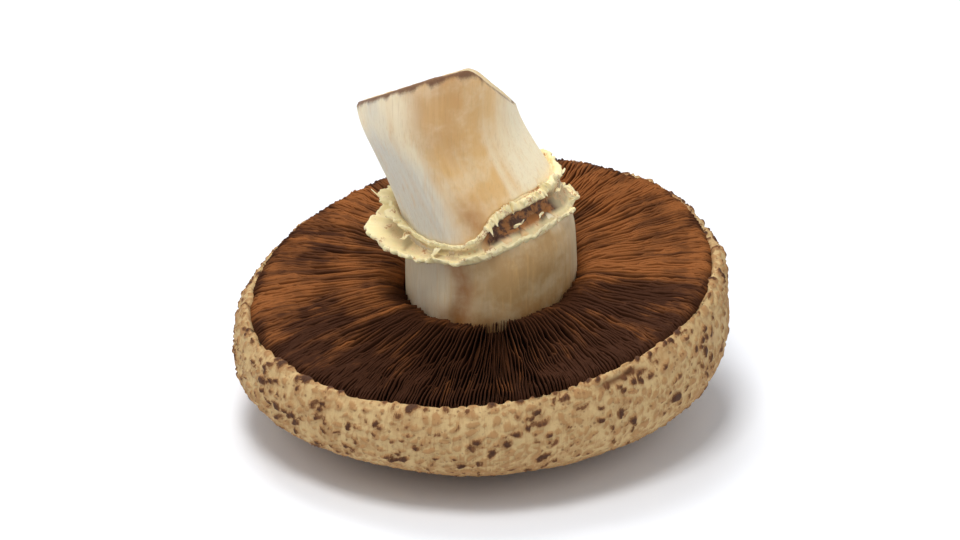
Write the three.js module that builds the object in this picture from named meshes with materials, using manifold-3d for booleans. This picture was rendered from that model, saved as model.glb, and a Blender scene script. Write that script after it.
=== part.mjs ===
// A portobello mushroom lying on its cap, with the gills and the trimmed stem upwards.
// Millimetres, +Z up. The origin is the middle of the flattened crown that the cap rests on.
// The gill side is not level: it climbs towards +X and +Y, and the stem leans towards -X.
// Every piece is turned on a lathe about the cap's upright axis, then sculpted point by point.
import * as THREE from "three";
import { mergeVertices } from "three/addons/utils/BufferGeometryUtils.js";
import Module from "manifold-3d";

// ---- driving dimensions ----
const CAP_RADIUS = 55;
const WIDEST_HEIGHT = 21; // from the uncut crown to the cap's widest level
const RIM_HEIGHT = 32; // from the uncut crown to the edge of the margin
const CROWN_POWER = 2.5; // above 2 makes a flat crown with full shoulders
const MARGIN_TURN_IN = 3.6; // how far the margin curls inwards over the gills
const REST_DEPTH = 0.5; // how much of the crown is flattened where it rests

const CLIMB_X = 0.085; // rise of the gill side for each mm towards +X
const CLIMB_Y = 0.12; // and towards +Y
const LEVEL_BELOW = 2; // the crown below this height stays level

const FLESH_HEIGHT = 20.5; // top of the cap's flesh under the gills, at the axis
const FLESH_RISE = 9; // how much higher the flesh stands at the margin
const FLESH_FLAT_TO = 0.45; // the flesh is level out to this share of its radius
const GAP = 0.3; // left between pieces that grow together
const GILL_INNER = 20.2; // radius of the gills' inner ends, about the stem
const GILL_RIDGES = 72;
const GILL_GROOVE = 0.9; // depth of the grooves between ridges
const GILL_CROWNING = 0.8; // how far the gills stand above the margin
const GILL_COLLAR = 1.2; // how far they drop away beside the stem

const STEM_X = 2.2; // the stem's foot, off the cap's axis
const STEM_Y = 2;
const STEM_LEAN = -12.5; // sideways shift of the stem along X
const LEAN_FROM = 8; // the lean starts and ends at these heights above the gill plane
const LEAN_TO = 46;
const STEM_TOP = 56; // uncut length above the gill plane
const STEM_OUTLINE = [
  // radius and height above the gill plane
  [18.2, -RIM_HEIGHT + FLESH_HEIGHT + GAP],
  [18.5, -2],
  [18.4, 9],
  [17.4, 21],
  [16.4, 33],
  [16.9, 44],
  [17.3, STEM_TOP],
];
const CUT_POINT = [-26.6, 3, 72.1]; // on the knife cut across the stem's end
const CUT_NORMAL = [-0.29, 0.36, 0.885];
const SHOULDER_POINT = [-1.9, 3, 80.1]; // on the smaller cut beside it
const SHOULDER_NORMAL = [0.62, 0.28, 0.73];

const RING_HEIGHT = 17.4; // the torn veil's mean height above the gill plane
const RING_TILT = 3.2; // it hangs lower on one side
const RING_HIGH_AT = -Math.PI / 36; // and is highest at this angle
const RING_OUTLINE = [
  // offset from the stem and height from the ring's middle
  [0, -2.6],
  [1.4, -3],
  [2.8, -2.4],
  [3, -0.8],
  [2.2, 0.8],
  [1.2, 2],
  [0, 2.2],
];
const FLARE_AT = 1.03 * Math.PI; // on the low side the veil flares out
const FLARE_WIDTH = 0.45;
const FLARE_REACH = 2.3; // to this many times further from the stem
const FLARE_RISE = 1.3; // and curls up by this much per unit of its offset

const CAP_SEGMENTS = 64;
const STEM_SEGMENTS = 36;
const RING_SEGMENTS = 48;

// ---- the shared shape ----

/** The outline of the rim: a circle that is a little oval and a little wavy. */
function outlineWave(angle) {
  return 1 + 0.012 * Math.cos(angle - 0.87) + 0.02 * Math.cos(2 * (angle - 0.87))
    + 0.006 * Math.cos(5 * angle + 2);
}

/** Lowers a point by the flattened crown and tilts the gill side, more and more with height. */
function settle(x, y, z) {
  const share = THREE.MathUtils.smoothstep(z, LEVEL_BELOW, RIM_HEIGHT);
  const level = Math.max(z - REST_DEPTH, 0);
  return [x, y, level + share * (CLIMB_X * x + CLIMB_Y * y)];
}

/** Height of the top of the cap's flesh at a distance from the axis, given as a share of the rim. */
function fleshHeight(share) {
  return FLESH_HEIGHT + FLESH_RISE * THREE.MathUtils.smoothstep(share, FLESH_FLAT_TO, 1);
}

/** Turns a closed profile of [radius, height] about +Z. */
function turned(profile, segments) {
  const points = profile.map(([radius, height]) => new THREE.Vector2(radius, height));
  return new THREE.LatheGeometry(points, segments).rotateX(Math.PI / 2);
}

/** Moves each vertex to where sculpt(angle, radius, height) says, and settles it. */
function sculpted(geometry, sculpt) {
  const position = geometry.getAttribute("position");
  for (let i = 0; i < position.count; i++) {
    const radius = Math.hypot(position.getX(i), position.getY(i));
    const angle = Math.atan2(position.getY(i), position.getX(i));
    position.setXYZ(i, ...settle(...sculpt(angle, radius, position.getZ(i))));
  }
  return geometry;
}

function piece(name, geometry, colour, roughness) {
  geometry.computeVertexNormals();
  const mesh = new THREE.Mesh(
    geometry,
    new THREE.MeshStandardMaterial({ color: colour, roughness, metalness: 0 }),
  );
  mesh.name = name;
  return mesh;
}

// ---- cap: a thick dome, hollowed on top for the gills ----

function capProfile() {
  const profile = [];
  const crownRows = 11;
  for (let i = 0; i <= crownRows; i++) {
    const turn = ((i / crownRows) * Math.PI) / 2;
    profile.push([
      CAP_RADIUS * Math.sin(turn) ** (2 / CROWN_POWER),
      WIDEST_HEIGHT * (1 - Math.cos(turn) ** (2 / CROWN_POWER)),
    ]);
  }
  const marginRows = 4;
  for (let i = 1; i <= marginRows; i++) {
    const turn = ((i / marginRows) * Math.PI) / 2;
    profile.push([
      CAP_RADIUS - MARGIN_TURN_IN * (1 - Math.cos(turn)),
      WIDEST_HEIGHT + (RIM_HEIGHT - WIDEST_HEIGHT) * Math.sin(turn),
    ]);
  }
  const fleshRows = 9;
  const fleshRadius = CAP_RADIUS - MARGIN_TURN_IN - 1.2;
  for (let i = fleshRows; i >= 0; i--) {
    const share = i / fleshRows;
    profile.push([fleshRadius * share, fleshHeight(share)]);
  }
  return profile;
}

function cap() {
  const geometry = turned(capProfile(), CAP_SEGMENTS);
  return piece("cap", sculpted(geometry, (angle, radius, height) => {
    const reach = radius * outlineWave(angle);
    return [reach * Math.cos(angle), reach * Math.sin(angle), height];
  }), 0xc9a878, 0.8);
}

// ---- gills: one ridged ring that fills the hollow ----

/** The profile's height runs from 0 at the flesh to 1 at the gills' free edge. */
function gillProfile() {
  const outer = CAP_RADIUS - MARGIN_TURN_IN - 1.2 - GAP;
  const topRows = 6;
  const footRows = 6;
  const profile = [];
  for (let i = 0; i <= footRows; i++) {
    profile.push([THREE.MathUtils.lerp(GILL_INNER, outer, i / footRows), 0]);
  }
  for (let i = topRows; i >= 0; i--) {
    profile.push([THREE.MathUtils.lerp(GILL_INNER, outer, i / topRows), 1]);
  }
  profile.push([GILL_INNER, 0]);
  return profile;
}

function gills() {
  const rim = CAP_RADIUS - MARGIN_TURN_IN - 1.2;
  const geometry = turned(gillProfile(), 2 * GILL_RIDGES);
  return piece("gills", sculpted(geometry, (angle, radius, onEdge) => {
    const outwards = (radius - GILL_INNER) / (rim - GILL_INNER);
    const reach = radius * THREE.MathUtils.lerp(1, outlineWave(angle), outwards);
    const x = reach * Math.cos(angle) + STEM_X * (1 - outwards);
    const y = reach * Math.sin(angle) + STEM_Y * (1 - outwards);
    const share = Math.hypot(x, y) / (rim * outlineWave(Math.atan2(y, x)));
    const foot = fleshHeight(Math.min(share, 1)) + GAP;
    const arch = GILL_CROWNING * Math.sqrt(Math.max(1 - outwards ** 4, 0));
    const collar = GILL_COLLAR * (1 - THREE.MathUtils.smoothstep(outwards, 0, 0.22));
    const ridge = GILL_GROOVE * (0.5 - 0.5 * Math.cos(GILL_RIDGES * angle)) * (1 - outwards ** 6);
    const edge = RIM_HEIGHT + arch - collar - ridge;
    return [x, y, onEdge > 0.5 ? edge : foot];
  }), 0x4a2a1c, 0.9);
}

// ---- stem: a leaning, slightly oval trunk, cut off at the end with a knife ----

const stemCurve = new THREE.CatmullRomCurve3(
  STEM_OUTLINE.map(([radius, height]) => new THREE.Vector3(radius, height, 0)),
);

/** Radius of the stem at a height above the gill plane, read off its outline. */
function stemRadius(height) {
  const samples = stemCurve.getPoints(80);
  const above = samples.findIndex((point) => point.y >= height);
  if (above <= 0) return samples.at(above).x;
  const [low, high] = [samples[above - 1], samples[above]];
  return THREE.MathUtils.mapLinear(height, low.y, high.y, low.x, high.x);
}

/** A point beside the stem: its angle, its distance from the surface and its height. */
function besideStem(angle, offset, height) {
  const oval = 1 + 0.02 * Math.cos(2 * angle + 1) + 0.012 * Math.cos(3 * angle);
  const lean = STEM_LEAN * THREE.MathUtils.smoothstep(height, LEAN_FROM, LEAN_TO);
  const reach = Math.max(stemRadius(height) * oval + offset, 0);
  return [
    STEM_X + lean + reach * Math.cos(angle),
    STEM_Y + reach * Math.sin(angle),
    RIM_HEIGHT + height,
  ];
}

/** A large block whose lower face lies on a plane, to cut away all that is above it. */
function blockAbove(point, normal) {
  const size = 120;
  const up = new THREE.Vector3(...normal).normalize();
  const turn = new THREE.Quaternion().setFromUnitVectors(new THREE.Vector3(0, 0, 1), up);
  return new THREE.BoxGeometry(size, size, size)
    .translate(0, 0, size / 2)
    .applyQuaternion(turn)
    .translate(...point);
}

const wasm = await Module();
wasm.setup();

function toSolid(geometry) {
  const bare = geometry.clone().deleteAttribute("normal").deleteAttribute("uv");
  const merged = mergeVertices(bare, 1e-3);
  return new wasm.Manifold(new wasm.Mesh({
    numProp: 3,
    vertProperties: merged.getAttribute("position").array,
    triVerts: new Uint32Array(merged.index.array),
  }));
}

function toGeometry(solid) {
  const mesh = solid.getMesh();
  return new THREE.BufferGeometry()
    .setAttribute("position", new THREE.BufferAttribute(mesh.vertProperties, 3))
    .setIndex(new THREE.BufferAttribute(mesh.triVerts, 1));
}

function stem() {
  const rows = 11;
  const bottom = STEM_OUTLINE[0][1];
  const profile = [[0, bottom]];
  for (let i = 0; i <= rows; i++) {
    profile.push([1, THREE.MathUtils.lerp(bottom, STEM_TOP, i / rows)]);
  }
  profile.push([0, STEM_TOP]);
  // The profile's radius is 1 on the stem's surface and 0 on its axis.
  const uncut = sculpted(turned(profile, STEM_SEGMENTS), (angle, onSurface, height) =>
    besideStem(angle, onSurface > 0.5 ? 0 : -2 * CAP_RADIUS, height));
  const cut = toSolid(uncut)
    .subtract(toSolid(blockAbove(CUT_POINT, CUT_NORMAL)))
    .subtract(toSolid(blockAbove(SHOULDER_POINT, SHOULDER_NORMAL)));
  return piece("stem", toGeometry(cut), 0xdccbaa, 0.7);
}

// ---- veil ring: the torn, frilled collar left round the stem ----

function veilRing() {
  const lift = 20; // keeps the profile's heights and radii positive on the lathe
  const closed = [...RING_OUTLINE, RING_OUTLINE[0]];
  const profile = closed.map(([offset, height]) => [lift + offset, height]);
  return piece("veil_ring", sculpted(turned(profile, RING_SEGMENTS), (angle, radius, height) => {
    const offset = radius - lift;
    const middle = RING_HEIGHT + RING_TILT * Math.cos(angle - RING_HIGH_AT);
    const fromFlare = Math.atan2(Math.sin(angle - FLARE_AT), Math.cos(angle - FLARE_AT));
    const flare = Math.exp(-((fromFlare / FLARE_WIDTH) ** 2));
    const lobe = 1 + FLARE_REACH * flare + 0.12 * Math.cos(7 * angle);
    const curl = offset * (FLARE_RISE * flare + 0.18 * Math.cos(9 * angle + 1));
    return besideStem(angle, GAP + offset * lobe, middle + height + curl);
  }), 0xe3cf96, 0.75);
}

const mushroom = new THREE.Group();
mushroom.add(cap(), gills(), stem(), veilRing());

export default mushroom;
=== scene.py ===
"""A portobello mushroom lying on its cap, with its gills and its cut stem upwards.

Lengths are in metres. Every shape below is a function of an angle round the cap's upright axis and of a
second number along a profile, worked out as whole arrays. Each is sculpted upright first, and settled
on the table last: settle() flattens the crown where it rests and tilts the gill side.
"""

import math

import bpy
import numpy as np
from bpy.props import FloatProperty, FloatVectorProperty, IntProperty, PointerProperty
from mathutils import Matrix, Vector


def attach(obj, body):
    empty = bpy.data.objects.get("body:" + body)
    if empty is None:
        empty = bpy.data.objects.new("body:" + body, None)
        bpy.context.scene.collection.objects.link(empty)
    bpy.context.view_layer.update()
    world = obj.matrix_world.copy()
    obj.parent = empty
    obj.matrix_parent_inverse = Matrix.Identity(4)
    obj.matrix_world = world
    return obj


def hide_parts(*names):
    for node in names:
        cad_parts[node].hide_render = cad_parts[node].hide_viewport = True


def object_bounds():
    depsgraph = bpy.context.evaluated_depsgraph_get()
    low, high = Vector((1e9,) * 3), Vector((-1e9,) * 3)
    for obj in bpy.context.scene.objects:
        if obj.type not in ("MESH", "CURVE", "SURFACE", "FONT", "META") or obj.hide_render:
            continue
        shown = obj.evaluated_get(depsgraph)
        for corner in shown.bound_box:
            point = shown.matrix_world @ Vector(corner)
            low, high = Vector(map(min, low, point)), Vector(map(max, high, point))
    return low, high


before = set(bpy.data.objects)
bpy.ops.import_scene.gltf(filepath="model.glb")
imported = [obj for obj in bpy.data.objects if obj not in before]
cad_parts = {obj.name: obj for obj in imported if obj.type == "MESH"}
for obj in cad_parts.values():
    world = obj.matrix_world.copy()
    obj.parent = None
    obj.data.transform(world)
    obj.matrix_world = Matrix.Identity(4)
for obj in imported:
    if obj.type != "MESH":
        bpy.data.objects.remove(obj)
CAD_LOW, CAD_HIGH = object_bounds()

bl_info = {
    "name": "Portobello Mushroom",
    "version": (1, 0, 0),
    "blender": (4, 5, 0),
    "location": "View3D > Sidebar > Mushroom",
    "description": "Grows a portobello mushroom with a scaly cap, gills, a cut stem and a torn veil",
    "category": "Add Mesh",
}

MM = 0.001
FULL_TURN = 2 * math.pi
BODY = "root"

# Bearings round the axis in degrees: 0 is +X and 270 is the front.
FOLD_AT = 307  # the fold in the margin
LOW_MARGIN_AT = 80  # where the margin stands lowest
# Painted shade on the gills: darkest towards this bearing, where the stem's shadow falls.
SHADED_GILLS_AT = 276
# Painted light on the gills: redder towards this bearing, where light catches their faces.
LIT_GILLS_AT = 50
CREASE_AT = 248  # the crease in the stem's foot
TEAR_AT = 305  # the torn skin under the veil's upper lip
BROWNED_CUT_AT = 240
COOL_SKIN_AT = 215  # the whitest side of the stem
# Painted cool light and shade on the stem: its skin turns greyer towards this bearing.
BACK_TAN_AT = 100
LOW_RUST_AT, HIGH_RUST_AT = 272, 275


# ---- settings


def length(name, description, default):
    """A length that a user can change."""
    return FloatProperty(name=name, description=description, default=default, unit="LENGTH", precision=5)


def colour(name, description, default):
    """A linear colour that a user can change."""
    return FloatVectorProperty(
        name=name, description=description, default=default, subtype="COLOR", size=3, min=0, max=1
    )


class MushroomShape(bpy.types.PropertyGroup):
    """The sizes that the mushroom grows to."""

    cap_radius: length("Cap radius", "From the axis to the widest level of the cap", 55 * MM)
    widest_height: length("Widest height", "From the crown to the cap's widest level", 21 * MM)
    rim_height: length("Rim height", "From the crown to the edge of the margin", 32 * MM)
    margin_turn_in: length("Margin turn-in", "How far the margin curls over the gills", 3.6 * MM)
    rest_depth: length("Rest depth", "How much of the crown is flattened where it rests", 0.5 * MM)
    flesh_height: length("Flesh height", "Top of the cap's flesh under the gills, at the axis", 20.5 * MM)
    flesh_rise: length("Flesh rise", "How much higher the flesh stands at the margin", 9 * MM)
    climb: FloatVectorProperty(
        name="Climb", description="Rise of the gill side per unit of X and Y", default=(0.085, 0.12), size=2
    )
    scale_relief: length("Scale relief", "How far the skin's scales stand out", 0.4 * MM)
    blades: IntProperty(name="Long gills", description="How many gills reach the stem", default=208, min=24)
    gill_inner: length("Gill inner radius", "Inner ends of the gills, about the stem", 19.0 * MM)
    stem_foot: FloatVectorProperty(
        name="Stem foot", description="Where the stem stands, off the cap's axis",
        default=(2.2 * MM, 2 * MM), size=2, subtype="XYZ", unit="LENGTH",
    )
    stem_lean: length("Stem lean", "Sideways shift of the stem's top along X", -12.5 * MM)
    veil_lift: length("Veil lift", "Shifts the torn veil up or down the stem", 0.0)


class MushroomColours(bpy.types.PropertyGroup):
    """The colours of the mushroom's tissues."""

    crown: colour("Crown", "Whole skin in the middle of the cap", (0.40, 0.215, 0.085))
    scale: colour("Scale", "Skin left as islands between the cracks", (0.41, 0.235, 0.095))
    # Fleck also paints the shade in the fold under the margin's lip.
    fleck: colour("Fleck", "Dry tips of the scales", (0.14, 0.052, 0.017))
    fleck_core: colour("Fleck core", "Darkest middles of the dry tips", (0.055, 0.020, 0.009))
    ground: colour("Ground", "Cream flesh between the scales", (0.58, 0.41, 0.195))
    # Gill is also painted shade: the colour deep between the gills, at the front and at the outer ends.
    gill: colour("Gill", "Ripe gills", (0.052, 0.0155, 0.0045))
    # Rusty gill is also painted light: it makes the free edges and the back-right gills redder, where light
    # catches them.
    gill_rust: colour("Rusty gill", "Redder gills, and the gills' free edges", (0.30, 0.102, 0.026))
    # Stem is also painted cool light and shade: the greyer skin of the stem's front-left side.
    stem: colour("Stem", "Fresh pale skin of the stem", (0.70, 0.64, 0.52))
    stem_cream: colour("Stem cream", "Warmer pale skin of the stem", (0.92, 0.79, 0.545))
    stem_tan: colour("Stem tan", "Bruised and dried skin of the stem", (0.77, 0.475, 0.185))
    stem_khaki: colour("Stem khaki", "Dull skin of the foot, under the veil", (0.47, 0.28, 0.105))
    # Stem rust also paints the shade at the stem's foot, down among the gills.
    stem_rust: colour("Stem rust", "Stained creases of the stem", (0.40, 0.155, 0.035))
    cut: colour("Cut flesh", "Knife-cut face of the stem", (0.66, 0.54, 0.31))
    cut_rim: colour("Cut rim", "Dried edge of the cut", (0.14, 0.055, 0.022))
    veil: colour("Veil", "Torn collar round the stem", (0.88, 0.75, 0.42))
    # Spores also paint the shade in the veil's groove, under its lower lip and in the cavity under its upper
    # lip.
    spores: colour("Spores", "Spore dust caught in the folds", (0.085, 0.03, 0.012))


# ---- noise


def ease(low, high, x):
    """0 below low, 1 above high, and a smooth S-curve between: 3t^2 - 2t^3."""
    t = np.clip((x - low) / (high - low), 0, 1)
    return t * t * (3 - 2 * t)


def bell(x, middle, width):
    """1 at the middle, falling off to both sides: e^-((x - middle) / width)^2."""
    return np.exp(-(((x - middle) / width) ** 2))


def full_turn(columns):
    """Evenly spaced angles round one turn."""
    return np.linspace(0, FULL_TURN, columns, endpoint=False)


def turned_from(angle, degrees):
    """How far an angle is from a bearing in degrees, either way round, in radians."""
    return np.abs(np.angle(np.exp(1j * (angle - np.radians(degrees)))))


def window(angle, degrees, inner, outer):
    """1 within inner degrees of a bearing, 0 beyond outer degrees of it, and a smooth slope between."""
    return 1 - ease(math.radians(inner), math.radians(outer), turned_from(angle, degrees))


def facing(angle, degrees):
    """1 at a bearing in degrees, 0 at right angles to it and -1 opposite: the cosine of the turn."""
    return np.cos(angle - math.radians(degrees))


def joined(*parts):
    """Points whose coordinates are the given arrays, stretched to one shape."""
    return np.stack(np.broadcast_arrays(*parts), -1)


def around(angle, radius, level=0):
    """Points at an angle, a radius and a level: noise read there is equal at both ends of a turn."""
    return joined(radius * np.cos(angle), radius * np.sin(angle), level)


def scatter(cells, seed):
    """A number from 0 to 1 for each whole-number point, by mixing the bits of its coordinates."""
    primes = np.array([0x8DA6B343, 0xD8163841, 0xCB1AB31F], np.uint32)
    h = np.bitwise_xor.reduce(cells.astype(np.int64).astype(np.uint32) * primes, axis=-1)
    h = h ^ np.uint32(seed * 0x9E3779B9 & 0xFFFFFFFF)
    for shift, factor in ((15, 0x2C1B3C6D), (12, 0x297A2D39)):
        h = (h ^ (h >> np.uint32(shift))) * np.uint32(factor)
    return (h ^ (h >> np.uint32(15))) / 2.0**32


def noise(points, seed=0):
    """Smooth noise from -1 to 1: random numbers at a cell's 8 corners, blended by 6t^5 - 15t^4 + 10t^3."""
    base = np.floor(points)
    t = points - base
    t = t * t * t * (t * (6 * t - 15) + 10)
    total = np.zeros(points.shape[:-1])
    for corner in np.ndindex(2, 2, 2):
        offset = np.array(corner)
        weight = np.prod(np.where(offset == 1, t, 1 - t), axis=-1)
        total += weight * scatter(base + offset, seed)
    return 2 * total - 1


def rough_noise(points, octaves=3, seed=0):
    """Several layers of noise, each twice as fine and half as strong as the last."""
    layers = [noise(points * 2**k, seed + k) / 2**k for k in range(octaves)]
    return sum(layers) / (2 - 0.5 ** (octaves - 1))


def cracked_cells(points, seed=0):
    """Cells like dried mud: the distance to the border, the distance to the seed, and the cell's tone.
    Each unit cube holds one random seed point; the border is where the two nearest are equally far."""
    base = np.floor(points)
    nearest = np.full(points.shape[:-1], 9.0)
    second = nearest.copy()
    tone = np.zeros_like(nearest)
    for offset in np.ndindex(3, 3, 3):
        cell = base + np.array(offset) - 1
        seed_point = cell + np.stack([scatter(cell, seed + axis) for axis in range(3)], -1)
        gap = np.linalg.norm(points - seed_point, axis=-1)
        closer = gap < nearest
        second = np.where(closer, nearest, np.minimum(second, gap))
        tone = np.where(closer, scatter(cell, seed + 7), tone)
        nearest = np.where(closer, gap, nearest)
    return second - nearest, nearest, tone


# ---- the mushroom's form


def outline_wave(angle):
    """The outline of the rim as a share of its radius: a circle that is a little oval and wavy."""
    long_way = 0.87
    turn = angle - long_way
    return 1 + 0.012 * np.cos(turn) + 0.02 * np.cos(2 * turn) + 0.006 * np.cos(5 * angle + 2)


def settle(shape, points):
    """Lowers the points by the flattened crown, and tilts the gill side, more and more with height."""
    x, y, z = np.moveaxis(points, -1, 0)
    share = ease(2 * MM, shape.rim_height, z)
    level = np.maximum(z - shape.rest_depth, 0)
    return joined(x, y, level + share * (shape.climb[0] * x + shape.climb[1] * y))


def flesh_height(shape, share):
    """Top of the flesh under the gills, at a share of the rim's radius: flat, then rising to the rim."""
    return shape.flesh_height + shape.flesh_rise * ease(0.45, 1, share)


# The stem's outline: its radius at heights over the gill plane.
STEM_RADII = np.array([18.2, 18.5, 18.4, 17.4, 16.4, 16.9, 17.3]) * MM
STEM_LEVELS = np.array([-11.2, -2, 9, 21, 33, 44, 56]) * MM


def cubic(t, start, end, start_slope, end_slope):
    """The cubic from start to end with given slopes at its ends, at t from 0 to 1 along it."""
    first = (1 + 2 * t) * (1 - t) ** 2 * start + t * (1 - t) ** 2 * start_slope
    return first + t**2 * (3 - 2 * t) * end - t**2 * (1 - t) * end_slope


def stem_radius(height):
    """Radius of the stem at a height above the gill plane: cubics through its outline, whose slope at a
    point is that between the point's two neighbours."""
    slopes = np.gradient(STEM_RADII, STEM_LEVELS)
    k = np.clip(np.searchsorted(STEM_LEVELS, height) - 1, 0, len(STEM_LEVELS) - 2)
    span = STEM_LEVELS[k + 1] - STEM_LEVELS[k]
    t = np.clip((height - STEM_LEVELS[k]) / span, 0, 1)
    return cubic(t, STEM_RADII[k], STEM_RADII[k + 1], span * slopes[k], span * slopes[k + 1])


def beside_stem(shape, angle, offset, height):
    """Points beside the stem: at an angle, a distance from its surface, a height above the gill plane."""
    oval = 1 + 0.02 * np.cos(2 * angle + 1) + 0.012 * np.cos(3 * angle)
    lean = shape.stem_lean * ease(8 * MM, 46 * MM, height)
    reach = np.maximum(stem_radius(height) * oval + offset, 0)
    x = shape.stem_foot[0] + lean + reach * np.cos(angle)
    y = shape.stem_foot[1] + reach * np.sin(angle)
    return joined(x, y, shape.rim_height + height)


# ---- meshes


def new_object(name, data):
    """An object in the scene that shows a mesh, a light or a camera."""
    thing = bpy.data.objects.new(name, data)
    bpy.context.scene.collection.objects.link(thing)
    return thing


def ring_quads(rows, columns, closed=False):
    """Quads between neighbouring rows of a grid whose columns close round on themselves."""
    index = np.arange(rows * columns).reshape(rows, columns)
    if closed:
        index = np.vstack([index, index[:1]])
    low, high = index[:-1], index[1:]
    return np.stack([low, np.roll(low, -1, 1), np.roll(high, -1, 1), high], -1).reshape(-1, 4)


def fan(ring, pole):
    """Triangles from each side of a closed ring of vertices to one pole."""
    return np.stack([ring, np.full_like(ring, pole), np.roll(ring, -1)], -1)


def strip_faces(strips, rings, corners, first_vertex):
    """The faces of strips that are each a row of closed rings of corners: their sides and their ends."""
    index = np.arange(strips * rings * corners).reshape(strips, rings, corners) + first_vertex
    near, far = index[:, :-1], index[:, 1:]
    sides = np.stack([near, np.roll(near, -1, 2), np.roll(far, -1, 2), far], -1).reshape(-1, 4)
    return sides, np.vstack([index[:, 0, ::-1], index[:, -1]])


def closed_tube(points, poles):
    """The vertices and faces of a grid of rings whose first and last ring are closed by a pole each."""
    rows, columns = points.shape[:2]
    first, last, pole = np.arange(columns), np.arange(columns) + (rows - 1) * columns, rows * columns
    ends = np.vstack([fan(first, pole), fan(last, pole + 1)[:, ::-1]])
    return np.vstack([points.reshape(-1, 3), poles]), [ring_quads(rows, columns), ends]


def with_poles(size, **values):
    """Numbers for a closed tube's vertices: those of a grid stretched to a size, then its two poles'."""
    return {key: np.append(np.broadcast_to(grid, size), poles) for key, (grid, *poles) in values.items()}


def add_piece(name, vertices, faces, values, material, node):
    """Makes a closed mesh with its faces outwards and gives it its material and its place in the frame.
    faces is a list of index arrays, each with one row for a face; values are numbers for each vertex."""
    vertices = vertices.reshape(-1, 3)
    corners = [f[:, [0, k, k + 1]] for f in faces for k in range(1, f.shape[1] - 1)]
    a, b, c = np.moveaxis(vertices[np.vstack(corners)], 1, 0)
    if np.einsum("ij,ij->", a, np.cross(b, c)) < 0:
        faces = [f[:, ::-1] for f in faces]
    mesh = bpy.data.meshes.new(name)
    counts = np.concatenate([np.full(len(f), f.shape[1]) for f in faces])
    mesh.vertices.add(len(vertices))
    mesh.vertices.foreach_set("co", vertices.astype(np.float32).ravel())
    mesh.loops.add(int(counts.sum()))
    mesh.loops.foreach_set("vertex_index", np.concatenate([f.ravel() for f in faces]).astype(np.int32))
    mesh.polygons.add(len(counts))
    mesh.polygons.foreach_set("loop_start", (np.cumsum(counts) - counts).astype(np.int32))
    for key, value in values.items():
        layer = mesh.attributes.new(key, "FLOAT", "POINT")
        layer.data.foreach_set("value", np.asarray(value, np.float32).ravel())
    mesh.update(calc_edges=True)
    mesh.validate()
    mesh.shade_smooth()
    mesh.materials.append(material)
    piece = new_object(name, mesh)
    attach(piece, BODY)
    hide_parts(node)
    return piece


# ---- materials


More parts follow.
